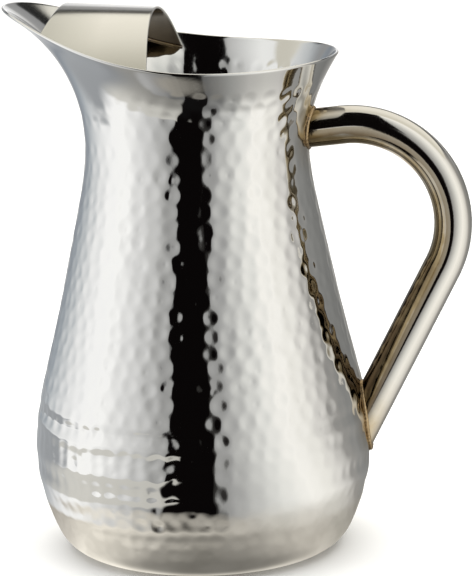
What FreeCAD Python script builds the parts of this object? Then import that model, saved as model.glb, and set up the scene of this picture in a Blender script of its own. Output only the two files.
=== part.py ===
"""Stainless steel water pitcher with a pouring lip, an ice guard and a bent tube handle.

Frame: the origin is the centre of the flat foot, +Z is up along the body's axis, the spout
points along -X and the handle along +X. The object is symmetric about the plane y = 0.
Lengths are in millimetres.
"""
import FreeCAD
import Part
import Sketcher
import math
import os

Vec = FreeCAD.Vector

# ---------------------------------------------------------------- driving dimensions
DIMENSIONS = [
    # sheet metal
    ("wall", 1.2),
    ("guard_sheet", 1.0),
    ("base_bead", 0.9),
    ("guard_bead", 0.8),
    ("handle_bead", 1.5),
    # body profile: radius and height at each station, foot to neck
    ("foot_radius", 48.7),
    ("foot_height", 0.0),
    ("heel_radius", 58.5),
    ("heel_height", 4.2),
    ("bowl_radius", 64.0),
    ("bowl_height", 13.6),
    ("hip_radius", 69.3),
    ("hip_height", 30.4),
    ("belly_radius", 70.1),
    ("belly_height", 52.4),
    ("chest_radius", 64.4),
    ("chest_height", 80.6),
    ("waist_radius", 57.0),
    ("waist_height", 111.0),
    ("throat_radius", 50.8),
    ("throat_height", 140.3),
    ("neck_radius", 46.4),
    ("neck_height", 170.7),
    # rim curve, as sums of cosines and sines of the angle around the mouth
    ("rim_x_mean", -17.29),
    ("rim_x_first", 69.33),
    ("rim_x_second", 7.05),
    ("rim_y_first", 57.62),
    ("rim_y_second", 9.24),
    ("rim_z_mean", 214.74),
    ("rim_z_first", -10.94),
    ("rim_z_second", 3.53),
    ("rim_z_third", 1.1),
    ("rim_z_fourth", -0.56),
    # flare between neck and rim: lean from vertical at the rim, and the two arm lengths
    ("flare_lean_back", 32.4),
    ("flare_lean_side", 49.1),
    ("flare_lean_nose", 60.0),
    ("flare_lip_back", 11.7),
    ("flare_lip_side", 16.6),
    ("flare_lip_nose", 22.1),
    ("flare_rise_back", 14.5),
    ("flare_rise_side", 20.6),
    ("flare_rise_nose", 27.3),
    # ice guard: an arched sheet between a rear arch and a front arch
    ("guard_rear_crest_x", -15.9),
    ("guard_rear_crest_z", 226.9),
    ("guard_rear_half_width", 54.6),
    ("guard_rear_drop", 22.8),
    ("guard_rear_bow", 3.6),
    ("guard_front_crest_x", -54.6),
    ("guard_front_crest_z", 228.4),
    ("guard_front_half_width", 39.3),
    ("guard_front_drop", 7.5),
    ("guard_front_bow", -2.7),
    # handle tube
    ("handle_diameter", 15.9),
    ("handle_wall", 1.2),
    ("handle_start_x", 36.6),
    ("handle_start_z", 175.7),
    ("handle_rise", 6.0),
    ("handle_top_run", 23.6),
    ("handle_bend_radius", 41.0),
    ("handle_bend", 122.9),
    ("handle_low_run", 94.0),
]
# places along the skin: 1 is the neck, 2 the rim, and the closed forms run on above the rim
RIM = 2.0
ABOVE_RIM = 2.25
LID_HEIGHT = 262.0
STATIONS = ["foot", "heel", "bowl", "hip", "belly", "chest", "waist", "throat", "neck"]

doc = FreeCAD.newDocument("water_pitcher")
sheet = doc.addObject("Spreadsheet::Sheet", "dims")
for row, (alias, value) in enumerate(DIMENSIONS, start=1):
    sheet.set("A%d" % row, alias)
    sheet.set("B%d" % row, str(value))
    sheet.setAlias("B%d" % row, alias)
doc.recompute()


def dim(alias):
    """Value of a driving dimension."""
    return float(sheet.get(alias))


# ---------------------------------------------------------------- free-form body skin
class ClampedSpline:
    """Cubic spline through given values with given end slopes."""

    def __init__(self, knots, values, start_slope, end_slope):
        self.knots = knots
        self.values = values
        count = len(knots)
        step = [knots[i + 1] - knots[i] for i in range(count - 1)]
        rise = [(values[i + 1] - values[i]) / step[i] for i in range(count - 1)]
        low = [0.0] * count
        mid = [1.0] * count
        high = [0.0] * count
        right = [0.0] * count
        right[0] = start_slope
        right[-1] = end_slope
        for i in range(1, count - 1):
            low[i] = step[i]
            mid[i] = 2.0 * (step[i - 1] + step[i])
            high[i] = step[i - 1]
            right[i] = 3.0 * (step[i] * rise[i - 1] + step[i - 1] * rise[i])
        for i in range(1, count):
            factor = low[i] / mid[i - 1]
            mid[i] -= factor * high[i - 1]
            right[i] -= factor * right[i - 1]
        slope = [0.0] * count
        slope[-1] = right[-1] / mid[-1]
        for i in range(count - 2, -1, -1):
            slope[i] = (right[i] - high[i] * slope[i + 1]) / mid[i]
        self.slope = slope

    def __call__(self, place):
        i = 0
        while i < len(self.knots) - 2 and place > self.knots[i + 1]:
            i += 1
        width = self.knots[i + 1] - self.knots[i]
        u = (place - self.knots[i]) / width
        a = self.values[i] * (1 + 2 * u) * (1 - u) ** 2
        b = self.values[i + 1] * u * u * (3 - 2 * u)
        c = self.slope[i] * width * u * (1 - u) ** 2
        d = self.slope[i + 1] * width * u * u * (u - 1)
        return a + b + c + d


radii = [dim(name + "_radius") for name in STATIONS]
heights = [dim(name + "_height") for name in STATIONS]
lengths = [0.0]
for i in range(1, len(radii)):
    lengths.append(lengths[-1] + math.hypot(radii[i] - radii[i - 1], heights[i] - heights[i - 1]))
radius_at = ClampedSpline(lengths, radii, 1.0, 0.0)
height_at = ClampedSpline(lengths, heights, 0.0, 1.0)


def rim_point(angle):
    """Outer edge of the rim; angle 0 is the handle side and pi the tip of the spout."""
    x = dim("rim_x_mean") + dim("rim_x_first") * math.cos(angle)
    x += dim("rim_x_second") * math.cos(2 * angle)
    y = dim("rim_y_first") * math.sin(angle) + dim("rim_y_second") * math.sin(2 * angle)
    z = dim("rim_z_mean")
    for order, name in enumerate(["first", "second", "third", "fourth"], start=1):
        z += dim("rim_z_" + name) * math.cos(order * angle)
    return Vec(x, y, z)


def around(name, angle):
    """Flare value at an angle: quadratic in the cosine through back, side and nose."""
    back = dim("flare_%s_back" % name)
    side = dim("flare_%s_side" % name)
    nose = dim("flare_%s_nose" % name)
    c = math.cos(angle)
    return side + 0.5 * (back - nose) * c + (0.5 * (back + nose) - side) * c * c


def flare_arms(angle):
    """Four control points of the flare's curve at an angle, from neck to rim."""
    neck_radius = dim("neck_radius")
    neck_height = dim("neck_height")
    start = Vec(neck_radius * math.cos(angle), neck_radius * math.sin(angle), neck_height)
    end = rim_point(angle)
    out = Vec(end.x - start.x, end.y - start.y, 0)
    out.normalize()
    lean = math.radians(around("lean", angle))
    leaving = out * math.sin(lean) + Vec(0, 0, math.cos(lean))
    first = start + Vec(0, 0, around("rise", angle))
    second = end - leaving * around("lip", angle)
    return start, first, second, end


def skin_point(angle, along):
    """Point of the outer skin: along runs 0..1 foot to neck and 1..2 neck to rim."""
    if along <= 1.0:
        place = lengths[-1] * along
        radius = radius_at(place)
        return Vec(radius * math.cos(angle), radius * math.sin(angle), height_at(place))
    u = along - 1.0
    p0, p1, p2, p3 = flare_arms(angle)
    w = 1.0 - u
    return p0 * w ** 3 + p1 * (3 * w * w * u) + p2 * (3 * w * u * u) + p3 * u ** 3


def skin_normal(angle, along):
    """Outward unit normal of the skin."""
    small = 1e-4
    low = max(along - small, 0.0)
    across = skin_point(angle + small, along) - skin_point(angle - small, along)
    upward = skin_point(angle, along + small) - skin_point(angle, low)
    normal = across.cross(upward)
    normal.normalize()
    return normal


def skin_surface(inset, reach):
    """Skin moved inwards by inset and continued to along = reach, as one B-spline surface."""
    columns = 48
    low_rows = 26
    high_rows = 14
    crowding = 1.35
    stops = [(i / float(low_rows)) ** crowding for i in range(low_rows + 1)]
    stops += [1.0 + (reach - 1.0) * i / float(high_rows) for i in range(1, high_rows + 1)]
    grid = []
    for stop in stops:
        ring = []
        for column in range(columns):
            angle = 2 * math.pi * column / columns
            point = skin_point(angle, stop)
            if inset:
                point = point - skin_normal(angle, stop) * inset
            ring.append(point)
        ring.append(ring[0])
        grid.append(ring)
    surface = Part.BSplineSurface()
    surface.interpolate(grid)
    return surface


def ring_edges(face):
    """The lowest and the highest closed edge of a skin face."""
    closed = [edge for edge in face.Edges if edge.isClosed()]
    closed.sort(key=lambda edge: edge.BoundBox.Center.z)
    return closed[0], closed[-1]


def solid_of(faces):
    """One solid from faces that enclose it."""
    shell = Part.makeShell(faces)
    shell.sewShape()
    solid = Part.makeSolid(Part.Shell(shell.Faces))
    if solid.Volume < 0:
        solid.reverse()
    return solid


def form_solid(inset, reach):
    """Space inside the skin, closed by its flat foot and by a flat lid above the rim."""
    side = skin_surface(inset, reach).toShape()
    foot, brim = ring_edges(side)
    lid_points = 96
    raised = [Vec(p.x, p.y, LID_HEIGHT) for p in brim.discretize(lid_points + 1)[:-1]]
    curve = Part.BSplineCurve()
    curve.interpolate(raised, PeriodicFlag=True)
    lid_edge = curve.toShape()
    collar = Part.makeRuledSurface(brim, lid_edge)
    lid = Part.Face(Part.Wire([lid_edge]))
    bottom = Part.Face(Part.Wire([foot]))
    return solid_of([side, bottom, collar, lid])


def shell_solid():
    """Body wall: outer skin, inner skin and the two narrow faces that join them."""
    outside = skin_surface(0.0, RIM).toShape()
    inside = skin_surface(dim("wall"), RIM).toShape()
    out_foot, out_brim = ring_edges(outside)
    in_foot, in_brim = ring_edges(inside)
    edge_face = Part.makeRuledSurface(out_brim, in_brim)
    foot_face = Part.makeRuledSurface(out_foot, in_foot)
    return solid_of([outside, inside, edge_face, foot_face])


def feature(name, shape):
    """Document object holding a computed shape."""
    item = doc.addObject("Part::Feature", name)
    item.Shape = shape
    item.Placement = FreeCAD.Placement()
    return item


def pair(kind, name, base, tool):
    """Boolean of two document objects."""
    item = doc.addObject(kind, name)
    item.Base = base
    item.Tool = tool
    return item


body_shell = feature("body_shell", shell_solid())
outer_form = feature("outer_form", form_solid(0.0, ABOVE_RIM))
cavity_form = feature("cavity_form", form_solid(dim("wall"), ABOVE_RIM))

# ---------------------------------------------------------------- base plate and its bead
base_plate = doc.addObject("Part::Cylinder", "base_plate")
base_plate.setExpression("Radius", "dims.foot_radius")
base_plate.setExpression("Height", "dims.wall")

base_ring = doc.addObject("Part::Torus", "base_ring")
base_ring.setExpression("Radius1", "dims.foot_radius")
base_ring.setExpression("Radius2", "dims.base_bead")
base_ring.setExpression("Placement.Base.z", "dims.wall")
base_weld = pair("Part::Common", "base_weld", base_ring, cavity_form)


# ---------------------------------------------------------------- ice guard
def guard_point(across, along):
    """Top of the guard: across is 0 on the crest and 1 at a foot, along runs rear to front."""
    square = across * across
    rear_x = dim("guard_rear_crest_x") + dim("guard_rear_bow") * square
    rear_y = dim("guard_rear_half_width") * across
    rear_z = dim("guard_rear_crest_z") - dim("guard_rear_drop") * square
    front_x = dim("guard_front_crest_x") + dim("guard_front_bow") * square
    front_y = dim("guard_front_half_width") * across
    front_z = dim("guard_front_crest_z") - dim("guard_front_drop") * square
    rear = Vec(rear_x, rear_y, rear_z)
    front = Vec(front_x, front_y, front_z)
    return rear + (front - rear) * along


def guard_face():
    """Top skin of the guard, run on past the wall on both sides."""
    overrun = 1.22
    spans_along = 8
    spans_each_side = 20
    grid = []
    for i in range(spans_along + 1):
        row = []
        for j in range(-spans_each_side, spans_each_side + 1):
            row.append(guard_point(overrun * j / spans_each_side, i / float(spans_along)))
        grid.append(row)
    surface = Part.BSplineSurface()
    surface.interpolate(grid)
    return surface.toShape()


guard_skin = feature("guard_skin", guard_face())
guard_blank = doc.addObject("Part::Offset", "guard_blank")
guard_blank.Source = guard_skin
guard_blank.setExpression("Value", "dims.guard_sheet")
guard_blank.Fill = True
ice_guard = pair("Part::Common", "ice_guard", guard_blank, cavity_form)

# ---------------------------------------------------------------- handle tube
path = doc.addObject("Sketcher::SketchObject", "handle_path")
path.Placement = FreeCAD.Placement(Vec(0, 0, 0), FreeCAD.Rotation(Vec(1, 0, 0), 90))
rise = math.radians(dim("handle_rise"))
turn = math.radians(dim("handle_bend"))
bend_radius = dim("handle_bend_radius")
start = Vec(dim("handle_start_x"), dim("handle_start_z"), 0)
upper = start + Vec(math.cos(rise), math.sin(rise), 0) * dim("handle_top_run")
centre = upper + Vec(math.sin(rise), -math.cos(rise), 0) * bend_radius
fall = rise - turn
lower = centre + Vec(-math.sin(fall), math.cos(fall), 0) * bend_radius
finish = lower + Vec(math.cos(fall), math.sin(fall), 0) * dim("handle_low_run")
path.addGeometry(Part.LineSegment(start, upper), False)
arc = Part.ArcOfCircle(
    Part.Circle(centre, Vec(0, 0, 1), bend_radius),
    fall + math.pi / 2,
    rise + math.pi / 2,
)
path.addGeometry(arc, False)
path.addGeometry(Part.LineSegment(lower, finish), False)
SIZED = [
    (Sketcher.Constraint("DistanceX", -1, 1, 0, 1, start.x), "dims.handle_start_x"),
    (Sketcher.Constraint("DistanceY", -1, 1, 0, 1, start.y), "dims.handle_start_z"),
    (Sketcher.Constraint("Angle", 0, rise), "dims.handle_rise * 1 deg"),
    (Sketcher.Constraint("Distance", 0, dim("handle_top_run")), "dims.handle_top_run"),
    (Sketcher.Constraint("Radius", 1, bend_radius), "dims.handle_bend_radius"),
    (Sketcher.Constraint("Angle", 2, fall), "(dims.handle_rise - dims.handle_bend) * 1 deg"),
    (Sketcher.Constraint("Distance", 2, dim("handle_low_run")), "dims.handle_low_run"),
]
path.addConstraint(Sketcher.Constraint("Tangent", 0, 2, 1, 2))
path.addConstraint(Sketcher.Constraint("Tangent", 2, 1, 1, 1))
for constraint, formula in SIZED:
    number = path.addConstraint(constraint)
    path.setExpression("Constraints[%d]" % number, formula)


def handle_round(name, radius_formula):
    """Round bar swept along the handle's path."""
    section = doc.addObject("Part::Circle", name + "_section")
    section.setExpression("Radius", radius_formula)
    tilt = FreeCAD.Rotation(Vec(0, 1, 0), 90 - dim("handle_rise"))
    section.Placement = FreeCAD.Placement(Vec(0, 0, 0), tilt)
    section.setExpression("Placement.Base.x", "dims.handle_start_x")
    section.setExpression("Placement.Base.z", "dims.handle_start_z")
    section.setExpression("Placement.Rotation.Angle", "90 deg - dims.handle_rise * 1 deg")
    bar = doc.addObject("Part::Sweep", name)
    bar.Sections = [section]
    bar.Spine = (path, ["Edge1", "Edge2", "Edge3"])
    bar.Solid = True
    bar.Frenet = False
    return bar


handle_bar = handle_round("handle_bar", "dims.handle_diameter / 2")
handle_bore = handle_round("handle_bore", "dims.handle_diameter / 2 - dims.handle_wall")
handle_sleeve = handle_round("handle_sleeve", "dims.handle_diameter / 2 + dims.handle_bead")
swollen_form = feature("swollen_form", form_solid(-dim("handle_bead"), RIM))
handle_pipe = pair("Part::Cut", "handle_pipe", handle_bar, handle_bore)
handle_tube = pair("Part::Cut", "handle_tube", handle_pipe, outer_form)
doc.recompute()


# ---------------------------------------------------------------- weld beads
def bead(edges, radius):
    """Round bead along connected edges."""
    spine = Part.Wire(Part.__sortEdges__(edges))
    first = spine.OrderedEdges[0]
    begin = first.firstVertex(True).Point
    parameter = first.FirstParameter if first.Orientation == "Forward" else first.LastParameter
    circle = Part.makeCircle(radius, begin, first.tangentAt(parameter))
    return spine.makePipeShell([Part.Wire([circle])], True, False)


def joint_beads():
    """Beads round both ends of the handle, lower one first."""
    size = dim("handle_bead")
    clear_of_both = 0.9 * size
    ease = 0.6 * size
    ring = handle_sleeve.Shape.common(swollen_form.Shape)
    ring = ring.cut(outer_form.Shape).cut(handle_bar.Shape)
    beads = []
    for piece in ring.Solids:
        corner = []
        for edge in piece.Edges:
            middle = Part.Vertex(edge.valueAt(0.5 * (edge.FirstParameter + edge.LastParameter)))
            off_body = middle.distToShape(outer_form.Shape)[0]
            off_tube = middle.distToShape(handle_bar.Shape)[0]
            if min(off_body, off_tube) > clear_of_both:
                corner.append(edge)
        eased = piece.makeChamfer(ease, corner)
        beads.append(eased.Solids[0] if eased.isValid() and eased.Volume > 0 else piece)
    beads.sort(key=lambda piece: piece.CenterOfMass.z)
    return beads


lower_bead, upper_bead = joint_beads()
handle_weld_upper = feature("handle_weld_upper", upper_bead)
handle_weld_lower = feature("handle_weld_lower", lower_bead)


def guard_bead(side):
    """Bead under one foot of the guard; side is -1 or 1 along Y."""
    touching = 0.02
    under_the_sheet = 0.6 * dim("guard_sheet")
    wall_face = cavity_form.Shape.Faces[0]
    for face in cavity_form.Shape.Faces:
        if face.Area > wall_face.Area:
            wall_face = face
    edges = []
    for edge in ice_guard.Shape.Edges:
        middle = Part.Vertex(edge.valueAt(0.5 * (edge.FirstParameter + edge.LastParameter)))
        on_wall = middle.distToShape(wall_face)[0] < touching
        below = middle.distToShape(guard_skin.Shape)[0] > under_the_sheet
        if on_wall and below and side * middle.Point.y > 0:
            edges.append(edge)
    rod = bead(edges, dim("guard_bead"))
    pieces = rod.common(cavity_form.Shape).cut(ice_guard.Shape).Solids
    return max(pieces, key=lambda piece: piece.Volume)


ice_guard_weld_near = feature("ice_guard_weld_near", guard_bead(-1))
ice_guard_weld_far = feature("ice_guard_weld_far", guard_bead(1))

# ---------------------------------------------------------------- checks and files
SUBPARTS = [
    body_shell,
    base_plate,
    base_weld,
    ice_guard,
    ice_guard_weld_near,
    ice_guard_weld_far,
    handle_tube,
    handle_weld_upper,
    handle_weld_lower,
]
doc.recompute()
for item in doc.Objects:
    if "Invalid" in item.State or "Error" in item.State:
        raise RuntimeError("%s failed to build: %s" % (item.Name, item.State))
for item in SUBPARTS:
    item.Label = item.Name
    shape = item.Shape
    if shape.isNull() or not shape.isValid() or len(shape.Solids) != 1:
        raise RuntimeError("%s has no valid single solid" % item.Name)

os.makedirs("parts", exist_ok=True)
for item in SUBPARTS:
    item.Shape.exportStep("parts/%s.step" % item.Label)
print("OK")
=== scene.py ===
"""Hammered stainless water pitcher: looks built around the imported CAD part.

Shapes are worked out in millimetres with the same skin formula as the CAD part, then made
into meshes in metres. Angle 0 is the handle side (+X) and pi the tip of the spout (-X).
"""

import math

import bmesh
import bpy
import numpy as np
from mathutils import Matrix, Vector
from mathutils.bvhtree import BVHTree


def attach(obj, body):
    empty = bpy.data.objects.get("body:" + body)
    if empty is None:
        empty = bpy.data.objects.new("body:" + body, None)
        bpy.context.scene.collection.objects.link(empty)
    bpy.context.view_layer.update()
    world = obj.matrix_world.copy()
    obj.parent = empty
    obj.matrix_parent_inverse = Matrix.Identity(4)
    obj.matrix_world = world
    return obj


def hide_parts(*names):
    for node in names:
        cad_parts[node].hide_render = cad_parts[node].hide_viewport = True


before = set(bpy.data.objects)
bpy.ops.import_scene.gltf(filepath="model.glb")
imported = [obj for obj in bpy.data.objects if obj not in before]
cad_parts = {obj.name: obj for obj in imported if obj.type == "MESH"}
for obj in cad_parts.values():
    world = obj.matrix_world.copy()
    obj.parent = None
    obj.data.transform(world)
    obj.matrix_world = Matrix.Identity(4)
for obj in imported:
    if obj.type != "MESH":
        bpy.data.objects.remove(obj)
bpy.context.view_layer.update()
MM = 0.001
SEED = 20261117
rng = np.random.default_rng(SEED)

# ---------------------------------------------------------------- dimensions, millimetres
WALL = 1.2
GUARD_SHEET = 1.0
RADII = [48.7, 58.5, 64.0, 69.3, 70.1, 64.4, 57.0, 50.8, 46.4]
HEIGHTS = [0.0, 4.2, 13.6, 30.4, 52.4, 80.6, 111.0, 140.3, 170.7]
RIM_X = [-17.29, 69.33, 7.05]
RIM_Y = [57.62, 9.24]
RIM_Z = [214.74, -10.94, 3.53, 1.1, -0.56]
LEAN = (32.4, 49.1, 60.0)
LIP = (11.7, 16.6, 22.1)
RISE = (14.5, 20.6, 27.3)
HANDLE_R = 7.95
HANDLE_START = (36.6, 175.7)
HANDLE_RISE = math.radians(6.0)
HANDLE_TOP_RUN = 23.6
HANDLE_BEND_R = 41.0
HANDLE_BEND = math.radians(122.9)
GUARD_REAR = dict(x=-15.9, z=226.9, half=54.6, drop=22.8, bow=3.6)
GUARD_FRONT = dict(x=-54.6, z=228.4, half=39.3, drop=7.5, bow=-2.7)


# ---------------------------------------------------------------- skin formula
class ClampedSpline:
    """Cubic spline through given values with given end slopes, for arrays."""

    def __init__(self, knots, values, start_slope, end_slope):
        self.knots = np.array(knots, float)
        self.values = np.array(values, float)
        step = np.diff(self.knots)
        rise = np.diff(self.values) / step
        count = len(knots)
        matrix = np.eye(count)
        right = np.zeros(count)
        right[0], right[-1] = start_slope, end_slope
        for i in range(1, count - 1):
            matrix[i, i - 1 : i + 2] = step[i], 2 * (step[i - 1] + step[i]), step[i - 1]
            right[i] = 3 * (step[i] * rise[i - 1] + step[i - 1] * rise[i])
        self.slope = np.linalg.solve(matrix, right)

    def __call__(self, place):
        place = np.asarray(place, float)
        i = np.clip(np.searchsorted(self.knots, place) - 1, 0, len(self.knots) - 2)
        width = self.knots[i + 1] - self.knots[i]
        u = (place - self.knots[i]) / width
        a = self.values[i] * (1 + 2 * u) * (1 - u) ** 2
        b = self.values[i + 1] * u * u * (3 - 2 * u)
        c = self.slope[i] * width * u * (1 - u) ** 2
        d = self.slope[i + 1] * width * u * u * (u - 1)
        return a + b + c + d


LENGTHS = np.concatenate([[0], np.cumsum(np.hypot(np.diff(RADII), np.diff(HEIGHTS)))])
SIDE_LENGTH = LENGTHS[-1]
radius_at = ClampedSpline(LENGTHS, RADII, 1.0, 0.0)
height_at = ClampedSpline(LENGTHS, HEIGHTS, 0.0, 1.0)


def around(values, angle):
    """Quadratic in the cosine through the back, side and nose values."""
    back, side, nose = values
    c = np.cos(angle)
    return side + 0.5 * (back - nose) * c + (0.5 * (back + nose) - side) * c * c


def skin(angle, along):
    """Points of the outer skin; along runs 0..1 foot to neck and 1..2 neck to rim."""
    angle, along = np.broadcast_arrays(np.asarray(angle, float), np.asarray(along, float))
    ca, sa = np.cos(angle), np.sin(angle)
    place = SIDE_LENGTH * np.clip(along, 0, 1)
    radius = radius_at(place)
    low = np.stack([radius * ca, radius * sa, height_at(place)], -1)
    p0 = np.stack([RADII[-1] * ca, RADII[-1] * sa, HEIGHTS[-1] + 0 * ca], -1)
    x = sum(v * np.cos(k * angle) for k, v in enumerate(RIM_X))
    y = sum(v * np.sin((k + 1) * angle) for k, v in enumerate(RIM_Y))
    z = sum(v * np.cos(k * angle) for k, v in enumerate(RIM_Z))
    p3 = np.stack([x, y, z], -1)
    out = p3 - p0
    out[..., 2] = 0
    out /= np.linalg.norm(out, axis=-1, keepdims=True)
    lean = np.radians(around(LEAN, angle))[..., None]
    leaving = out * np.sin(lean)
    leaving[..., 2] = np.cos(lean)[..., 0]
    p1 = p0 + np.stack([0 * ca, 0 * ca, around(RISE, angle)], -1)
    p2 = p3 - leaving * around(LIP, angle)[..., None]
    past_rim = 1.3
    u = np.clip(along - 1.0, 0, past_rim)[..., None]
    w = 1 - u
    high = p0 * w**3 + p1 * 3 * w * w * u + p2 * 3 * w * u * u + p3 * u**3
    return np.where((along <= 1.0)[..., None], low, high)


def skin_normal(angle, along):
    """Outward unit normals of the skin."""
    small = 1e-4
    across = skin(angle + small, along) - skin(angle - small, along)
    upward = skin(angle, along + small) - skin(angle, np.maximum(along - small, 0))
    normal = np.cross(across, upward)
    return normal / np.linalg.norm(normal, axis=-1, keepdims=True)


def full_turn(count):
    """Evenly spaced angles once round, without the repeated end."""
    return np.arange(count) * 2 * np.pi / count


# ---------------------------------------------------------------- mesh helpers
def write_layer(obj, name, values):
    """Per-point number that a material can read."""
    layer = obj.data.attributes.new(name, "FLOAT", "POINT")
    layer.data.foreach_set("value", np.clip(values, 0, 1).astype(np.float32).ravel())


def make_object(name, verts, faces, material, replaced):
    """A smooth piece made from points in millimetres, riding on the one body."""
    mesh = bpy.data.meshes.new(name)
    mesh.from_pydata((np.asarray(verts) * MM).tolist(), [], [list(map(int, f)) for f in faces])
    mesh.validate()
    mesh.update()
    bm = bmesh.new()
    bm.from_mesh(mesh)
    bmesh.ops.recalc_face_normals(bm, faces=bm.faces)
    bm.to_mesh(mesh)
    bm.free()
    mesh.polygons.foreach_set("use_smooth", [True] * len(mesh.polygons))
    obj = bpy.data.objects.new(name, mesh)
    bpy.context.scene.collection.objects.link(obj)
    obj.data.materials.append(material)
    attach(obj, "root")
    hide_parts(replaced)
    return obj


def grid_faces(rows, columns, closed_rows=False, closed_columns=True):
    """Quads joining a grid of points numbered row by row."""
    row_count = rows if closed_rows else rows - 1
    column_count = columns if closed_columns else columns - 1
    i, j = np.meshgrid(np.arange(row_count), np.arange(column_count), indexing="ij")
    a = i * columns + j
    b = i * columns + (j + 1) % columns
    c = ((i + 1) % rows) * columns + (j + 1) % columns
    d = ((i + 1) % rows) * columns + j
    return np.stack([a, b, c, d], -1).reshape(-1, 4)


# ---------------------------------------------------------------- beaten surface
MARK_PITCH = 6.9
MARK_ROW = 7.1
FIRST_ROW = 12.0
MARKS_ABOVE_NECK = 34.0
FLARE_LENGTH = 45.0
MARK_SIZE = (3.7, 4.4)
MARK_DEPTH = (0.12, 0.25)
MARK_JITTER = 0.13
MARK_WANDER = 0.6
ROW_SPREAD = (0.95, 1.05)
GIRTH_POINTS = 181
# Above the foot the marks come in two stages.
MARK_START_HALF = (5.0, 10.0)
MARK_START_FULL = (11.0, 19.0)
# About a third of the marks have a small pit of their own near the middle.
PIT_SHARE = 0.35
PIT_OFFSET = 1.8
PIT_TURN_RADIUS = 60
PIT_SIZE = (1.1, 1.6)
PIT_DEPTH = (0.03, 0.07)
# The spout is smooth from lower down than the back of the mouth.
SPOUT_SMOOTH = 15.0
# Level grooves low on the belly: angles where they are strongest, pitch and depth.
GROOVE_PLACES = (4.15, 1.9, 0.35)
GROOVE_SECTOR = (0.45, 0.9)
GROOVE_PITCH = 11.75
GROOVE_DEPTH = 0.70
GROOVE_LEVEL = 33.0
GROOVE_SCALLOPS = 62
GROOVE_START = (17.0, 24.0)
GROOVE_END = (61.0, 69.0)
# Between the stretches of level grooves the low belly is nearly smooth.
CALM_PLACES = (5.55, 3.05, 1.12)
CALM_SECTOR = (0.62, 0.95)
CALM_KEEP = 0.30
CALM_END = (38.0, 78.0)
# Soft unevenness of the wall.
WAVE_COUNT = 14
WAVE_LOBES = (1, 9)
WAVE_RATE = (0.02, 0.09)
WAVE_PHASE = (0, 6.28)
WAVE_DEPTH = 0.035
WAVE_LIFT = 2.5
WAVE_START = (6, 30)
WAVE_END = (175, 200)


def fade(value, low, high):
    """0 below low, 1 above high, smooth between."""
    u = np.clip((value - low) / (high - low), 0, 1)
    return u * u * (3 - 2 * u)


def hammer_marks():
    """Angle, place along the skin, radius and depth of the marks, in rows round the body."""
    marks = []
    place = FIRST_ROW
    while place < SIDE_LENGTH + MARKS_ABOVE_NECK:
        if place <= SIDE_LENGTH:
            along = place / SIDE_LENGTH
        else:
            along = 1 + (place - SIDE_LENGTH) / FLARE_LENGTH
        ring = skin(np.linspace(0, 2 * np.pi, GIRTH_POINTS), along)
        girth = np.linalg.norm(np.diff(ring, axis=0), axis=1).sum()
        count = int(round(girth / MARK_PITCH))
        shift = rng.uniform(0, 1)
        for k in range(count):
            angle = 2 * np.pi * (k + shift + rng.normal(0, MARK_JITTER)) / count
            lift = along + rng.normal(0, MARK_WANDER) / SIDE_LENGTH
            marks.append((angle, lift, rng.uniform(*MARK_SIZE), rng.uniform(*MARK_DEPTH)))
            if rng.uniform() < PIT_SHARE:
                turn = angle + rng.uniform(-PIT_OFFSET, PIT_OFFSET) / PIT_TURN_RADIUS
                lift = along + rng.uniform(-PIT_OFFSET, PIT_OFFSET) / SIDE_LENGTH
                marks.append((turn, lift, rng.uniform(*PIT_SIZE), rng.uniform(*PIT_DEPTH)))
        place += MARK_ROW * rng.uniform(*ROW_SPREAD)
    return marks


MARKS = hammer_marks()
WAVES = [
    (
        rng.integers(*WAVE_LOBES),
        rng.uniform(*WAVE_RATE),
        rng.uniform(*WAVE_PHASE),
        rng.uniform(*WAVE_PHASE),
    )
    for _ in range(WAVE_COUNT)
]


def sectors(turn, places, low, high):
    """1 near the given angles, 0 away from them; low and high are cosines."""
    return np.clip(sum(fade(np.cos(turn - place), low, high) for place in places), 0, 1)


def level_grooves(turn, z):
    """Depth of the level grooves: wavy, scalloped, every other one a little deeper."""
    sector = sectors(turn, GROOVE_PLACES, *GROOVE_SECTOR)
    height = fade(z, *GROOVE_START) * (1 - fade(z, *GROOVE_END))
    wobble = 0.7 * np.sin(5 * turn + 0.8) + 0.4 * np.sin(11 * turn + 2.0)
    phase = 2 * np.pi * (z + wobble - GROOVE_LEVEL) / GROOVE_PITCH
    wave = 0.5 - 0.5 * np.cos(phase)
    strength = 0.8 + 0.2 * np.cos(phase / 2 - 0.8)
    scallops = np.cos(GROOVE_SCALLOPS * turn + 2.0 * np.sin(3 * turn))
    strength = strength * (0.88 + 0.12 * scallops)
    return GROOVE_DEPTH * sector * height * strength * wave


def mark_depths(points, angles, alongs):
    """Summed depth of the hammer marks at each grid point, in millimetres."""
    rows, columns = len(alongs), len(angles)
    depth = np.zeros((rows, columns))
    row_step = np.linalg.norm(points[1:, 0] - points[:-1, 0], axis=-1)
    least_step = 0.2
    for angle, along, size, deep in MARKS:
        centre = skin(angle, along)
        row = np.searchsorted(alongs, along)
        span = int(size / max(row_step[min(row, rows - 2)], least_step)) + 2
        r0, r1 = max(0, row - span), min(rows, row + span + 1)
        if r1 - r0 < 2:
            continue
        column = int(round((angle % (2 * np.pi)) / (2 * np.pi) * columns))
        reach = int(size / (np.hypot(centre[0], centre[1]) * 2 * np.pi / columns)) + 2
        cols = np.arange(column - reach, column + reach + 1) % columns
        block = points[r0:r1][:, cols]
        far = np.linalg.norm(block - centre, axis=-1) / size
        depth[np.ix_(np.arange(r0, r1), cols)] += deep * np.clip(1 - far * far, 0, None) ** 2
    return depth


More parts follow.
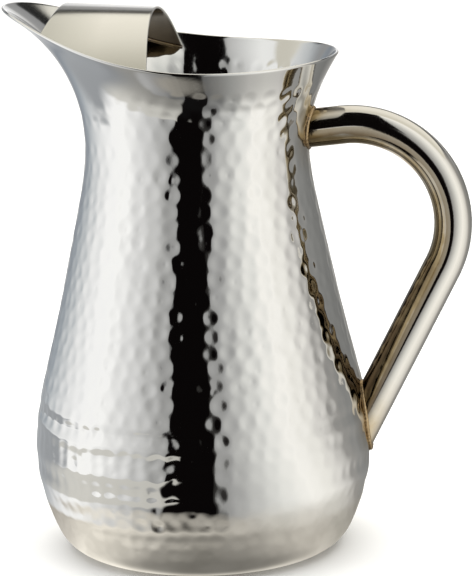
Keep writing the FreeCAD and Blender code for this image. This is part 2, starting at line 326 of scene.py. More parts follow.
def dents(points, angles, alongs, top_fade):
    """Depth of the beaten surface at each grid point (rows by columns), in millimetres."""
    z = points[..., 2]
    turn, up = np.meshgrid(angles, z[:, 0], indexing="xy")
    slow = np.zeros_like(z)
    for around_count, up_rate, phase_a, phase_b in WAVES:
        slow += np.sin(around_count * turn + phase_a) * np.sin(up_rate * up + phase_b)
    slow = np.clip(WAVE_DEPTH * (slow + WAVE_LIFT), 0, None)
    slow = slow * fade(z, *WAVE_START) * (1 - fade(z, *WAVE_END))
    keep = 0.5 * fade(z, *MARK_START_HALF) + 0.5 * fade(z, *MARK_START_FULL)
    keep *= 1 - fade(z + SPOUT_SMOOTH * (0.5 - 0.5 * np.cos(turn)), *top_fade)
    calm = sectors(turn, CALM_PLACES, *CALM_SECTOR)
    keep *= 1 - (1 - CALM_KEEP) * calm * (1 - fade(z, *CALM_END))
    return mark_depths(points, angles, alongs) * keep + level_grooves(turn, z) + slow


# ---------------------------------------------------------------- node helpers
class NodeTree:
    """Short calls that add and join shader nodes."""

    def __init__(self, tree, coords="Object"):
        self.tree = tree
        self.coords = self.add("ShaderNodeTexCoord").outputs[coords]

    def feed(self, socket, value):
        """Link a socket, or set a constant on it."""
        if isinstance(value, bpy.types.NodeSocket):
            self.tree.links.new(value, socket)
        else:
            socket.default_value = value

    def add(self, kind, settings=None, **inputs):
        """New node; an input is named with _ for a space, or with i and its number."""
        node = self.tree.nodes.new(kind)
        for key, value in (settings or {}).items():
            setattr(node, key, value)
        for key, value in inputs.items():
            if key[0] == "i" and key[1:].isdigit():
                socket = node.inputs[int(key[1:])]
            else:
                socket = node.inputs[key.replace("_", " ")]
            self.feed(socket, value)
        return node

    def math(self, operation, a, b=0.0):
        return self.add("ShaderNodeMath", {"operation": operation}, i0=a, i1=b).outputs[0]

    def product(self, first, *others):
        for other in others:
            first = self.math("MULTIPLY", first, other)
        return first

    def rest_of(self, value):
        """What is left of 1."""
        return self.math("SUBTRACT", 1.0, value)

    def mix(self, factor, a, b):
        """Colour a where the factor is 0, b where it is 1."""
        return self.add("ShaderNodeMix", {"data_type": "RGBA"}, i0=factor, i6=a, i7=b).outputs[2]

    def ramp(self, value, from_low, from_high, to_low=0.0, to_high=1.0, kind="LINEAR"):
        """Value carried from one range to another and held at its ends."""
        node = self.add("ShaderNodeMapRange", {"clamp": True, "interpolation_type": kind})
        for socket, number in (
            ("Value", value),
            ("From Min", from_low),
            ("From Max", from_high),
            ("To Min", to_low),
            ("To Max", to_high),
        ):
            self.feed(node.inputs[socket], number)
        return node.outputs[0]

    def step(self, value, low, high):
        """0 at low, 1 at high, smooth between; low may be the larger."""
        return self.ramp(value, low, high, kind="SMOOTHSTEP")

    def split(self, vector):
        """The x, y and z of a vector."""
        return self.add("ShaderNodeSeparateXYZ", Vector=vector).outputs

    def noise(self, scale, detail=3.0, rough=0.55, stretch=None):
        vector = self.coords
        if stretch:
            vector = self.add("ShaderNodeMapping", Vector=vector, Scale=stretch).outputs[0]
        node = self.add(
            "ShaderNodeTexNoise", Vector=vector, Scale=scale, Detail=detail, Roughness=rough
        )
        return node.outputs["Fac"]


class Metal(NodeTree):
    """A metal material; its plain colour and roughness serve viewers that can't read nodes."""

    def __init__(self, name, colour, roughness):
        self.material = bpy.data.materials.new(name)
        self.material.use_nodes = True
        super().__init__(self.material.node_tree)
        self.shader = self.tree.nodes["Principled BSDF"]
        self.shader.inputs["Metallic"].default_value = 1.0
        self.surface((*colour, 1), roughness)

    def surface(self, colour, roughness):
        self.feed(self.shader.inputs["Base Color"], colour)
        self.feed(self.shader.inputs["Roughness"], roughness)

    def layer(self, name):
        """A number that write_layer put on the mesh."""
        return self.add("ShaderNodeAttribute", {"attribute_name": name}).outputs["Fac"]

    def near(self, point, inner, outer):
        """1 within inner metres of a point, 0 beyond outer."""
        gap = self.add("ShaderNodeVectorMath", {"operation": "DISTANCE"}, i0=self.coords, i1=point)
        return self.ramp(gap.outputs["Value"], inner, outer, 1.0, 0.0)

    def bump(self, height, strength, distance):
        node = self.add("ShaderNodeBump", Height=height, Strength=strength, Distance=distance)
        self.tree.links.new(node.outputs[0], self.shader.inputs["Normal"])


# ---------------------------------------------------------------- materials
UPPER_JOINT = (0.0475, 0.0, 0.1772)
LOWER_JOINT = (0.0695, 0.0, 0.0570)


def hammered_steel():
    """Polished steel with soft clouds, heat colour at the handle, and an inside that is rougher
    and darker with painted shade.
    """
    straw = (0.36, 0.28, 0.17, 1)
    inside_shade_tone = (0.56, 0.56, 0.55, 1)
    inside_haze = 0.035
    metal = Metal("hammered_steel", (0.82, 0.82, 0.81), 0.08)
    tone = metal.mix(metal.noise(14.0, 4.0), (0.62, 0.62, 0.62, 1), (0.68, 0.675, 0.66, 1))
    heat = metal.math(
        "MAXIMUM", metal.near(UPPER_JOINT, 0.008, 0.022), metal.near(LOWER_JOINT, 0.011, 0.024)
    )
    ragged = metal.product(heat, metal.ramp(metal.noise(160.0), 0.3, 0.7, 0.5, 1.0))
    tone = metal.mix(ragged, tone, straw)
    # Painted shade: a darker grey inside; the haze added below is real roughness.
    inside = metal.layer("inner_side")
    tone = metal.mix(inside, tone, inside_shade_tone)
    smear = metal.ramp(metal.noise(30.0, 5.0), 0.35, 0.75, 0.02, 0.06)
    smear = metal.math("ADD", smear, metal.product(inside, inside_haze))
    hair = metal.ramp(metal.noise(900.0, 2.0, stretch=(1, 1, 0.06)), 0.64, 0.8, 0.0, 0.08)
    metal.surface(tone, metal.math("ADD", smear, hair))
    metal.bump(metal.noise(700.0, 2.0), 0.02, 0.0003)
    return metal.material


def guard_steel():
    """Brushed sheet with painted shade: darker towards the front edge and the feet, and dark brown
    underneath.
    """
    painted_shade_tone = (0.44, 0.435, 0.40, 1)
    shade = (0.06, 0.038, 0.016, 1)
    light_shade = (0.12, 0.085, 0.045, 1)
    metal = Metal("guard_steel", (0.84, 0.82, 0.78), 0.24)
    tone = metal.mix(metal.noise(22.0, 4.0), (0.62, 0.605, 0.57, 1), (0.69, 0.675, 0.64, 1))
    x, _, z = metal.split(metal.coords)
    # Painted shade: the sheet turns to a darker tone towards the front edge and down towards the
    # feet.
    off_front = metal.ramp(x, -0.054, -0.034)
    off_feet = metal.ramp(z, 0.209, 0.224, 0.1, 1.0)
    tone = metal.mix(metal.product(off_front, off_feet), painted_shade_tone, tone)
    # Painted shade on the underside, dark brown in soft clouds.
    painted_under_shade = metal.mix(metal.noise(90.0, 4.0), shade, light_shade)
    tone = metal.mix(metal.layer("underside"), tone, painted_under_shade)
    brushed = metal.noise(700.0, 3.0, stretch=(0.05, 1, 1))
    metal.surface(tone, metal.ramp(brushed, 0.3, 0.7, 0.12, 0.17))
    metal.bump(brushed, 0.012, 0.0002)
    return metal.material


def handle_steel():
    """Polished tube, tinted straw and then brown: heat tint by the welds, painted shade along the
    side that faces the body.
    """
    straw = (0.40, 0.31, 0.17, 1)
    brown = (0.10, 0.07, 0.04, 1)
    metal = Metal("handle_steel", (0.82, 0.80, 0.77), 0.12)
    tone = metal.mix(metal.noise(18.0, 3.0), (0.60, 0.585, 0.55, 1), (0.67, 0.65, 0.615, 1))
    # The layer holds heat tint by the welds and painted shade along the side that faces the body.
    ragged = metal.product(
        metal.layer("heat_tint_and_shade"), metal.ramp(metal.noise(120.0), 0.3, 0.7, 0.6, 1.0)
    )
    tone = metal.mix(metal.ramp(ragged, 0.05, 0.4), tone, straw)
    tone = metal.mix(metal.ramp(ragged, 0.3, 0.8), tone, brown)
    smear = metal.ramp(metal.noise(36.0, 5.0), 0.35, 0.75, 0.05, 0.1)
    hair = metal.ramp(metal.noise(1100.0, 2.0, stretch=(1, 0.08, 1)), 0.6, 0.8, 0.0, 0.08)
    metal.surface(tone, metal.math("ADD", smear, hair))
    metal.bump(metal.noise(600.0, 2.0), 0.04, 0.0003)
    return metal.material


def weld_steel():
    """Rough bead in browns, with blue-grey spots."""
    metal = Metal("weld_steel", (0.5, 0.42, 0.3), 0.34)
    tone = metal.mix(metal.noise(420.0, 3.0), (0.24, 0.16, 0.08, 1), (0.60, 0.46, 0.28, 1))
    spots = metal.ramp(metal.noise(150.0), 0.55, 0.75, 0, 0.7)
    tone = metal.mix(spots, tone, (0.28, 0.30, 0.38, 1))
    metal.surface(tone, metal.ramp(metal.noise(600.0), 0.3, 0.7, 0.22, 0.5))
    metal.bump(metal.noise(1500.0, 3.0), 0.25, 0.0003)
    return metal.material


def base_steel():
    """Disc with fine turned rings."""
    metal = Metal("base_steel", (0.76, 0.76, 0.75), 0.25)
    rings = metal.add(
        "ShaderNodeTexWave",
        {"wave_type": "RINGS", "rings_direction": "Z"},
        Vector=metal.coords,
        Scale=320.0,
        Distortion=1.5,
        Detail=2.0,
    ).outputs["Fac"]
    tone = metal.mix(metal.noise(60.0), (0.70, 0.70, 0.69, 1), (0.8, 0.8, 0.79, 1))
    metal.surface(tone, metal.ramp(rings, 0.0, 1.0, 0.2, 0.34))
    metal.bump(rings, 0.15, 0.0002)
    return metal.material


BODY_METAL = hammered_steel()
GUARD_METAL = guard_steel()
HANDLE_METAL = handle_steel()
WELD_METAL = weld_steel()
BASE_METAL = base_steel()


# ---------------------------------------------------------------- body
BODY_COLUMNS = 660
BODY_LAST = 1.985
OUTER_ROW = 0.66
INNER_ROW = 1.1
OUTER_TOP_FADE = (196.0, 210.0)
INNER_TOP_FADE = (206.0, 213.0)
FLARE_SPAN = 48.0
CROWN_STEPS = 8


def beaten_skin(row_mm, inset, top_fade):
    """Grid of points on the beaten skin, moved inwards by inset."""
    angles = full_turn(BODY_COLUMNS)
    alongs = np.concatenate(
        [
            np.linspace(0, 1, int(SIDE_LENGTH / row_mm), endpoint=False),
            np.linspace(1, BODY_LAST, int(FLARE_SPAN / row_mm)),
        ]
    )
    turn, up = np.meshgrid(angles, alongs)
    points = skin(turn, up)
    depth = dents(points, angles, alongs, top_fade)
    return points - skin_normal(turn, up) * (inset + depth)[..., None]


def make_body():
    """Closed sheet: outside, rounded rim, inside, and the lower edge between them."""
    outer = beaten_skin(OUTER_ROW, 0.0, OUTER_TOP_FADE)
    inner = beaten_skin(INNER_ROW, WALL, INNER_TOP_FADE)
    angles = full_turn(BODY_COLUMNS)
    normals = skin_normal(angles, np.full(BODY_COLUMNS, BODY_LAST))
    crown = []
    for k in range(1, CROWN_STEPS):
        phi = math.pi * k / CROWN_STEPS
        across = 0.5 - 0.5 * math.cos(phi)
        up = BODY_LAST + (2.0 - BODY_LAST) * math.sin(phi)
        crown.append(skin(angles, up) - normals * WALL * across)
    rows = np.concatenate([outer, np.stack(crown), inner[::-1]])
    faces = grid_faces(len(rows), BODY_COLUMNS, closed_rows=True)
    body = make_object(
        "body", rows.reshape(-1, 3), faces, BODY_METAL, "body_shell"
    )
    inside = np.zeros((len(rows), BODY_COLUMNS))
    inside[len(outer) + len(crown) :] = 1
    write_layer(body, "inner_side", inside)


make_body()


def skin_tree(inset):
    """Ray-cast tree of the plain skin, moved inwards by inset."""
    columns, side_rows, flare_rows, above_rim = 240, 200, 70, 2.2
    angles = full_turn(columns)
    alongs = np.concatenate(
        [np.linspace(0, 1, side_rows, endpoint=False), np.linspace(1, above_rim, flare_rows)]
    )
    turn, up = np.meshgrid(angles, alongs)
    points = skin(turn, up) - skin_normal(turn, up) * inset
    faces = grid_faces(len(alongs), len(angles))
    return BVHTree.FromPolygons(points.reshape(-1, 3).tolist(), faces.tolist())


OUTER_TREE = skin_tree(0.0)
INNER_TREE = skin_tree(WALL)


# ---------------------------------------------------------------- handle and its welds
HANDLE_SIDES = 96
TOP_ROWS = 20
BEND_ROWS = 120
LOW_ROWS = 60
SUNK = 0.35
FLATTENING = 0.022


def handle_frame():
    """Start and end of the bend, its centre, the two run directions and the last heading."""
    rise = HANDLE_RISE
    fall = rise - HANDLE_BEND
    first = np.array([math.cos(rise), math.sin(rise)])
    upper = np.array(HANDLE_START) + first * HANDLE_TOP_RUN
    centre = upper + np.array([math.sin(rise), -math.cos(rise)]) * HANDLE_BEND_R
    lower = centre + np.array([-math.sin(fall), math.cos(fall)]) * HANDLE_BEND_R
    second = np.array([math.cos(fall), math.sin(fall)])
    return upper, centre, lower, first, second, fall


def tube_ring(centre, heading, angles, squeeze=1.0):
    """Ring of points round the tube at a place on its centre line, in the XZ plane."""
    out = np.array([-math.sin(heading), math.cos(heading)])
    x = centre[0] + out[0] * HANDLE_R * squeeze * np.cos(angles)
    z = centre[1] + out[1] * HANDLE_R * squeeze * np.cos(angles)
    y = HANDLE_R * np.sin(angles)
    return np.stack([x, y, z], -1)


def run_to_skin(ring, direction):
    """Distance from each point of a ring to the outer skin along a direction."""
    ray = Vector((direction[0], 0, direction[1]))
    hits = [OUTER_TREE.ray_cast(Vector(p), ray) for p in ring]
    return np.array([hit[3] for hit in hits])


def handle_heat_and_shade(rows, angles):
    """Straw to brown: heat tint round both welds, and painted shade along the side that faces the
    body, stronger towards the lower end.
    """
    steps = np.linalg.norm(np.diff(rows.mean(axis=1), axis=0), axis=1)
    length = np.concatenate([[0], np.cumsum(steps)])[:, None]
    # Painted shade along the side that faces the body, growing towards the lower end.
    inside = fade(-np.cos(angles), -0.05, 0.7)[None, :]
    above = fade(np.cos(angles), -0.2, 0.6)[None, :]
    top = np.exp(-length / 9.0) * (0.4 + 0.3 * above)
    low = np.exp(-(length[-1] - length) / 13.0) * 0.45
    return top + low + inside * (0.42 + 0.5 * fade(length, 60, 120))


def make_handle():
    """Tube cut to the skin at both ends; returns its two seams with the body."""
    angles = full_turn(HANDLE_SIDES)
    upper, centre, lower, first, second, fall = handle_frame()
    top_ring = tube_ring(upper, HANDLE_RISE, angles)
    low_ring = tube_ring(lower, fall, angles)
    top_gap = run_to_skin(top_ring, -first)
    low_gap = run_to_skin(low_ring, second)
    way_in = np.array([first[0], 0, first[1]])
    way_out = np.array([second[0], 0, second[1]])
    rows = []
    for u in np.linspace(1, 0, TOP_ROWS, endpoint=False):
        rows.append(top_ring - way_in * ((top_gap + SUNK) * u)[:, None])
    for u in np.linspace(0, 1, BEND_ROWS):
        heading = HANDLE_RISE - HANDLE_BEND * u
        place = centre + np.array([-math.sin(heading), math.cos(heading)]) * HANDLE_BEND_R
        squeeze = 1 - FLATTENING * math.sin(math.pi * u) ** 0.5
        rows.append(tube_ring(place, heading, angles, squeeze))
    for u in np.linspace(0, 1, LOW_ROWS)[1:]:
        rows.append(low_ring + way_out * ((low_gap + SUNK) * u)[:, None])
    rows = np.array(rows)
    faces = grid_faces(len(rows), HANDLE_SIDES).tolist()
    faces.append(list(range(HANDLE_SIDES)))
    faces.append([(len(rows) - 1) * HANDLE_SIDES + k for k in range(HANDLE_SIDES)])
    handle = make_object(
        "handle", rows.reshape(-1, 3), faces, HANDLE_METAL, "handle_tube"
    )
    write_layer(handle, "heat_tint_and_shade", handle_heat_and_shade(rows, angles))
    upper_seam = top_ring - way_in * top_gap[:, None]
    lower_seam = low_ring + way_out * low_gap[:, None]
    return upper_seam, lower_seam


def resample_loop(points, count):
    """Closed loop with evenly spaced points, and its length."""
    loop = np.vstack([points, points[:1]])
    run = np.concatenate([[0], np.cumsum(np.linalg.norm(np.diff(loop, axis=0), axis=1))])
    stops = np.linspace(0, run[-1], count, endpoint=False)
    return np.stack([np.interp(stops, run, loop[:, k]) for k in range(3)], -1), run[-1]


def make_weld(name, seam, node):
    """Lumpy bead along a closed seam."""
    count, sides = 320, 14
    bead_radius, beat_pitch, beat_height = 0.85, 1.7, 0.10
    line, length = resample_loop(seam, count)
    tangent = np.roll(line, -1, 0) - np.roll(line, 1, 0)
    tangent /= np.linalg.norm(tangent, axis=1)[:, None]
    out = line - line.mean(axis=0)
    out -= tangent * (out * tangent).sum(1)[:, None]
    out /= np.linalg.norm(out, axis=1)[:, None]
    side = np.cross(tangent, out)
    share = np.arange(count) / count
    ripple = beat_height * np.abs(np.sin(math.pi * round(length / beat_pitch) * share))
    wobble = 0.08 * np.sin(2 * math.pi * 3 * share + 1) + 0.05 * np.sin(2 * math.pi * 7 * share)
    size = bead_radius + ripple + wobble
    turn = full_turn(sides)[None, :, None]
    ring = out[:, None] * np.cos(turn) + side[:, None] * np.sin(turn)
    verts = line[:, None] + ring * size[:, None, None]
    faces = grid_faces(count, sides, closed_rows=True)
    make_object(name, verts.reshape(-1, 3), faces, WELD_METAL, node)


upper_seam, lower_seam = make_handle()
make_weld("handle_bead_upper", upper_seam, "handle_weld_upper")
make_weld("handle_bead_lower", lower_seam, "handle_weld_lower")


# ---------------------------------------------------------------- ice guard
GUARD_ROWS = 48
GUARD_COLUMNS = 160
GUARD_EDGE = 0.012
GUARD_SUNK = 0.006
EDGE_STEPS = 6


def guard_top(across, along):
    """Top of the guard: across 0 at the crest, 1 at a foot; along 0 rear, 1 front."""
    across, along = np.broadcast_arrays(np.asarray(across, float), np.asarray(along, float))
    square = across**2
    ends = []
    for end in (GUARD_REAR, GUARD_FRONT):
        x = end["x"] + end["bow"] * square
        z = end["z"] - end["drop"] * square
        ends.append(np.stack([x, end["half"] * across, z], -1))
    return ends[0] + (ends[1] - ends[0]) * along[..., None]


def guard_reach(along):
    """Value of across where the guard meets the inside of the wall."""
    tries = 60
    stops = np.linspace(0.5, 1.25, tries)
    points = guard_top(stops, np.full(tries, along))
    for k in range(tries - 1):
        start, stop = Vector(points[k]), Vector(points[k + 1])
        hit = INNER_TREE.ray_cast(start, stop - start, (stop - start).length)
        if hit[0] is not None:
            part = hit[3] / (stop - start).length
            return stops[k] + (stops[k + 1] - stops[k]) * part
    return 1.0


def guard_edge(across, normal, along, overhang, share):
    """Rows round one rounded edge; share is -0.5 from top to bottom and 0.5 back up."""
    rows = []
    for k in range(1, EDGE_STEPS):
        phi = math.pi * k / EDGE_STEPS
        mid = guard_top(across, np.full(GUARD_COLUMNS, along + overhang * math.sin(phi)))
        rows.append((mid - normal * GUARD_SHEET * (0.5 + share * math.cos(phi)))[None])
    return rows


def make_guard():
    """Bent sheet with rounded front and rear edges, its feet just inside the wall."""
    alongs = np.linspace(GUARD_EDGE, 1 - GUARD_EDGE, GUARD_ROWS)
    reach = np.array([guard_reach(a) for a in alongs]) + GUARD_SUNK
    across = reach[:, None] * np.linspace(-1, 1, GUARD_COLUMNS)[None, :]
    along = np.repeat(alongs[:, None], GUARD_COLUMNS, 1)
    top = guard_top(across, along)
    small = 1e-4
    ea = guard_top(across + small, along) - guard_top(across - small, along)
    el = guard_top(across, along + small) - guard_top(across, along - small)
    normal = np.cross(ea, el)
    normal /= np.linalg.norm(normal, axis=-1)[..., None]
    normal *= np.sign(normal[..., 2:3])
    low = top - normal * GUARD_SHEET
    front = guard_edge(across[-1], normal[-1], 1 - GUARD_EDGE, GUARD_EDGE, -0.5)
    rear = guard_edge(across[0], normal[0], GUARD_EDGE, -GUARD_EDGE, 0.5)
    grid = np.concatenate([top, *front, low[::-1], *rear])
    count = len(grid)
    faces = grid_faces(count, GUARD_COLUMNS, closed_rows=True, closed_columns=False).tolist()
    faces.append([r * GUARD_COLUMNS for r in range(count)])
    faces.append([(r + 1) * GUARD_COLUMNS - 1 for r in range(count)])
    guard = make_object(
        "guard", grid.reshape(-1, 3), faces, GUARD_METAL, "ice_guard"
    )
    # Rows of the underside, which the guard's material darkens with painted shade.
    underside = np.zeros((count, GUARD_COLUMNS))
    start = GUARD_ROWS + len(front)
    underside[start : start + GUARD_ROWS] = 1
    write_layer(guard, "underside", underside)


make_guard()

# ---------------------------------------------------------------- CAD nodes that stay
for node, metal in (
    ("base_plate", BASE_METAL),
    ("base_weld", WELD_METAL),
    ("ice_guard_weld_near", WELD_METAL),
    ("ice_guard_weld_far", WELD_METAL),
):
    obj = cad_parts[node]
    obj.data.materials.clear()
    obj.data.materials.append(metal)


# ---------------------------------------------------------------- stage
CAMERA_AZIMUTH = 7.49
GAP_COLOUR = (0.004, 0.003, 0.003)
# Brightness round the studio: degrees from the front, then linear red, green and blue.
# A dark gap in front, between a wide soft light on the left and a warmer one on the right.
STUDIO = (
    (-180, 1.095, 1.095, 1.095),
    (-168, 0.558, 0.565, 0.58),
    (-157, 0.321, 0.349, 0.385),
    (-145, 0.432, 0.473, 0.514),
    (-130, 0.75, 0.784, 0.807),
    (-112, 1.127, 1.138, 1.138),
    (-95, 1.365, 1.365, 1.354),
    (-78, 1.399, 1.399, 1.376),
    (-60, 1.065, 1.065, 1.052),
    (-45, 0.826, 0.826, 0.814),
    (-33, 0.586, 0.586, 0.573),
    (-24.6, 0.44, 0.44, 0.43),
    (-23.4, *GAP_COLOUR),
    (5, *GAP_COLOUR),
    (6, 0.045, 0.043, 0.04),
    (8, 0.05, 0.048, 0.045),
    (9, 0.437, 0.437, 0.425),
    (14, 0.508, 0.508, 0.498),
    (25, 0.732, 0.732, 0.708),
    (42, 1.108, 1.108, 1.055),
    (60, 1.379, 1.355, 1.281),
    (76, 1.218, 1.196, 1.119),
    (90, 0.936, 0.912, 0.864),
    (104, 0.44, 0.428, 0.404),
    (118, 0.339, 0.339, 0.326),
    (145, 0.238, 0.238, 0.229),
    (163, 0.403, 0.393, 0.373),
    (180, 1.256, 1.256, 1.256),
)
# The table top close to the pitcher, in the same form; its dim tones are painted shade round the
# foot.
NEAR_TABLE = (
    (-180, 0.30, 0.28, 0.25),
    (-115, 0.50, 0.47, 0.42),
    (-88, 0.78, 0.73, 0.65),
    (-65, 1.25, 1.18, 1.04),
    (-38, 1.22, 1.15, 1.01),
    (-20, 0.90, 0.85, 0.75),
    (-6, 0.70, 0.66, 0.58),
    (11, 0.73, 0.69, 0.61),
    (34, 0.88, 0.83, 0.73),
    (58, 0.80, 0.75, 0.66),
    (80, 0.58, 0.55, 0.48),
    (110, 0.35, 0.33, 0.29),
    (180, 0.30, 0.28, 0.25),
)
FLOOR_HALF = 8


def stage_mesh(name, corners, material):
    mesh = bpy.data.meshes.new(name)
    mesh.from_pydata(corners, [], [list(range(len(corners)))])
    obj = bpy.data.objects.new(name, mesh)
    bpy.context.scene.collection.objects.link(obj)
    obj.data.materials.append(material)
    return obj


def floor_corners():
    s = FLOOR_HALF
    return [(-s, -s, 0), (s, -s, 0), (s, s, 0), (-s, s, 0)]


def only_reflected(obj):
    """Show an object in reflections only."""
    obj.visible_camera = False
    obj.visible_diffuse = False
    obj.visible_shadow = False


def empty_material(name):
    """A material with no shader yet, and the helper that builds its nodes."""
    material = bpy.data.materials.new(name)
    material.use_nodes = True
    material.node_tree.nodes.clear()
    return material, NodeTree(material.node_tree)


def studio_colour(n, tones, x, y):
    """Colour of the studio, or of the table, in the level direction of x and y."""
    turn = n.math("ARCTAN2", x, n.math("MULTIPLY", y, -1.0))
    share = n.math("MULTIPLY", turn, 0.5 / math.pi)
    share = n.math("ADD", share, 0.5 - CAMERA_AZIMUTH / 360)
    share = n.math("FRACT", n.math("ADD", share, 1.0))
    ramp = n.add("ShaderNodeValToRGB", Fac=share)
    stops = ramp.color_ramp.elements
    while len(stops) < len(tones):
        stops.new(0.5)
    for stop, (azimuth, *colour) in zip(stops, tones):
        stop.position = (azimuth + 180) / 360
        stop.color = (*colour, 1)
    return ramp.outputs[0]


def make_floor():
    material = bpy.data.materials.new("floor_white")
    material.use_nodes = True
    shader = material.node_tree.nodes["Principled BSDF"]
    shader.inputs["Base Color"].default_value = (0.93, 0.93, 0.93, 1)
    shader.inputs["Roughness"].default_value = 0.8
    shader.inputs["Specular IOR Level"].default_value = 0.0
    floor = stage_mesh("floor", floor_corners(), material)
    floor.visible_glossy = False


def table_distance(n):
    """Distance over the table from the pitcher's axis, counted a little longer sideways."""
    sideways = 1.05
    turned = n.add(
        "ShaderNodeMapping",
        Vector=n.coords,
        Rotation=(0, 0, math.radians(-CAMERA_AZIMUTH)),
        Scale=(sideways, 1, 1),
    )
    length = n.add("ShaderNodeVectorMath", {"operation": "LENGTH"}, i0=turned.outputs[0])
    return length.outputs["Value"]


def table_far(n, x, y, distance):
    """The studio's tones, with a beige stretch on the left and a darker one behind it."""
    beige = (0.84, 0.82, 0.75, 1)
    blue_grey = (0.46, 0.48, 0.50, 1)
    colour = studio_colour(n, STUDIO, x, y)
    left = n.product(
        n.step(x, -0.03, -0.05), n.step(distance, 0.115, 0.13), n.step(distance, 0.31, 0.27), 0.85
    )
    colour = n.mix(left, colour, beige)
    back = n.product(
        n.step(x, -0.04, -0.07), n.step(y, -0.05, 0.08), n.step(distance, 0.6, 0.4)
    )
    return n.mix(back, colour, blue_grey)


def table_near(n, x, y):
    """The clouded table top by the foot, dim with painted shade."""
    cloud = n.step(n.noise(55.0, 2.0, 0.5), 0.3, 0.7)
    return n.mix(n.product(cloud, 0.2), studio_colour(n, NEAR_TABLE, x, y), (0.2, 0.18, 0.14, 1))


def past_near(n, x, distance):
    """0 on the near table, 1 beyond: a sharp edge in front and left, a soft one on the right."""
    sharp = n.step(distance, 0.092, 0.108)
    soft = n.step(distance, 0.074, 0.132)
    right = n.step(n.math("DIVIDE", x, distance), 0.32, 0.6)
    return n.math("ADD", sharp, n.product(right, n.math("SUBTRACT", soft, sharp)))


def make_reflected_table():
    """What polished metal sees below it: a table top near by, dim with painted shade, the studio's
    tones beyond.
    """
    just_below = -0.0004
    steep_shade = 0.62
    material, n = empty_material("reflected_table")
    x, y, _ = n.split(n.coords)
    distance = table_distance(n)
    far = table_far(n, x, y, distance)
    colour = n.mix(past_near(n, x, distance), table_near(n, x, y), far)
    # A glossy table looks darker the more steeply it is seen.
    facing = n.add("ShaderNodeLayerWeight", Blend=0.5).outputs["Facing"]
    steep = n.rest_of(n.step(facing, 0.04, 0.36))
    colour = n.mix(n.product(steep, steep_shade), colour, (0.01, 0.01, 0.01, 1))
    emission = n.add("ShaderNodeEmission", Color=colour)
    n.add("ShaderNodeOutputMaterial", Surface=emission.outputs[0])
    table = stage_mesh("reflected_table", floor_corners(), material)
    table.location.z = just_below
    only_reflected(table)


def studio_place(across, toward, height):
    """Point given across and towards the camera's side of the studio, in metres."""
    turn = math.radians(CAMERA_AZIMUTH)
    x = across * math.cos(turn) + toward * math.sin(turn)
    return (x, across * math.sin(turn) - toward * math.cos(turn), height)


def make_handle_card():
    """Upright one-sided card in front of the pitcher, mirrored by the handle on its right."""
    across, near, far = 0.034, 0.08, 0.2
    low, line, top = 0.001, 0.166, 0.172
    brown = (0.26, 0.22, 0.17, 1)
    beige = (0.52, 0.47, 0.38, 1)
    bright = (1.0, 0.98, 0.94, 1)
    material, n = empty_material("handle_card")
    _, _, z = n.split(n.coords)
    colour = n.mix(n.step(z, 0.02, 0.16), brown, beige)
    colour = n.mix(n.step(z, line - 0.001, line + 0.001), colour, bright)
    emission = n.add("ShaderNodeEmission", Color=colour)
    clear = n.add("ShaderNodeBsdfTransparent")
    behind = n.add("ShaderNodeNewGeometry").outputs["Backfacing"]
    both = n.add("ShaderNodeMixShader", i0=behind, i1=emission.outputs[0], i2=clear.outputs[0])
    n.add("ShaderNodeOutputMaterial", Surface=both.outputs[0])
    corners = [
        studio_place(across, far, low),
        studio_place(across, near, low),
        studio_place(across, near, top),
        studio_place(across, far, top),
    ]
    only_reflected(stage_mesh("handle_card", corners, material))


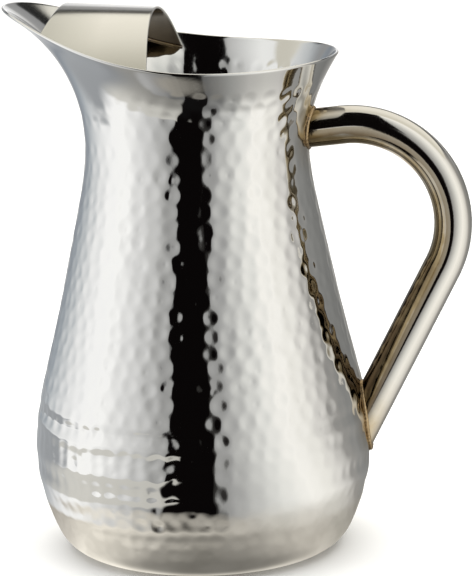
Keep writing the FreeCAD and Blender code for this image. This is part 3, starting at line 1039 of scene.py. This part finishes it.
def make_world():
    """Soft studio: tones all round, a dark strip in front, bands behind, a light overhead."""
    world = bpy.data.worlds.new("studio")
    bpy.context.scene.world = world
    world.use_nodes = True
    n = NodeTree(world.node_tree, "Generated")
    x, y, z = n.split(n.coords)
    colour = studio_colour(n, STUDIO, x, y)
    # The dark gap goes on upwards in front, almost to the point overhead.
    skew = math.tan(math.radians(CAMERA_AZIMUTH))
    across = n.math("ADD", x, n.math("MULTIPLY", y, skew))
    gap = n.product(
        n.step(across, -0.33, -0.29),
        n.rest_of(n.step(across, 0.18, 0.22)),
        n.step(z, 0.35, 0.55),
        n.rest_of(n.step(y, -0.13, -0.08)),
    )
    colour = n.mix(gap, colour, (*GAP_COLOUR, 1))
    # Behind the pitcher a grey band stands above the table, and a dark one above that.
    behind = n.step(y, 0.45, 0.75)
    colour = n.mix(n.product(behind, n.step(z, 0.18, 0.24)), colour, (0.44, 0.44, 0.44, 1))
    colour = n.mix(n.product(behind, n.step(z, 0.36, 0.39)), colour, (0.03, 0.03, 0.03, 1))
    overhead = n.product(n.step(z, 0.47, 0.53), n.step(y, -0.12, -0.04))
    above = n.mix(n.step(y, 0.05, 0.5), (0.98, 0.94, 0.82, 1), (1.22, 1.18, 1.06, 1))
    colour = n.mix(overhead, colour, above)
    seen = n.add("ShaderNodeLightPath").outputs["Is Camera Ray"]
    colour = n.mix(seen, colour, (1, 1, 1, 1))
    n.feed(world.node_tree.nodes["Background"].inputs[0], colour)


def make_floor_light():
    """Soft light from above that only brightens the floor: polished metal doesn't mirror it."""
    light = bpy.data.lights.new("soft_top", "AREA")
    light.shape = "RECTANGLE"
    light.size = light.size_y = 3.0
    light.energy = 60
    obj = bpy.data.objects.new("soft_top", light)
    bpy.context.scene.collection.objects.link(obj)
    obj.location = (0, 0, 2.0)
    obj.visible_camera = False
    obj.visible_glossy = False


make_floor()
make_reflected_table()
make_handle_card()
make_world()
make_floor_light()

# ---------------------------------------------------------------- camera
FOCAL_PIXELS = 2901.45
FRAME_HEIGHT = 576
SENSOR = 36.0
CAMERA_DISTANCE = 1.1844
CAMERA_HEIGHT = 0.3614
CAMERA_ROLL = math.radians(-1.154)
CAMERA_TARGET = Vector((0.01537, 0, 0.10942))


def make_camera():
    """Camera at its azimuth and height, aimed at the target and then rolled."""
    azimuth = math.radians(CAMERA_AZIMUTH)
    sideways, forward = math.sin(azimuth), -math.cos(azimuth)
    place = Vector((CAMERA_DISTANCE * sideways, CAMERA_DISTANCE * forward, CAMERA_HEIGHT))
    ahead = (CAMERA_TARGET - place).normalized()
    level = ahead.cross(Vector((0, 0, 1))).normalized()
    upright = level.cross(ahead)
    across = level * math.cos(CAMERA_ROLL) + upright * math.sin(CAMERA_ROLL)
    upward = upright * math.cos(CAMERA_ROLL) - level * math.sin(CAMERA_ROLL)
    camera = bpy.data.objects.new("camera", bpy.data.cameras.new("camera"))
    bpy.context.scene.collection.objects.link(camera)
    basis = Matrix((across, upward, -ahead)).transposed().to_4x4()
    camera.matrix_world = Matrix.Translation(place) @ basis
    camera.data.sensor_width = SENSOR
    camera.data.lens = FOCAL_PIXELS / FRAME_HEIGHT * SENSOR
    camera.data.clip_start = 0.05
    bpy.context.scene.camera = camera


make_camera()
bpy.context.scene.view_settings.view_transform = "Standard"
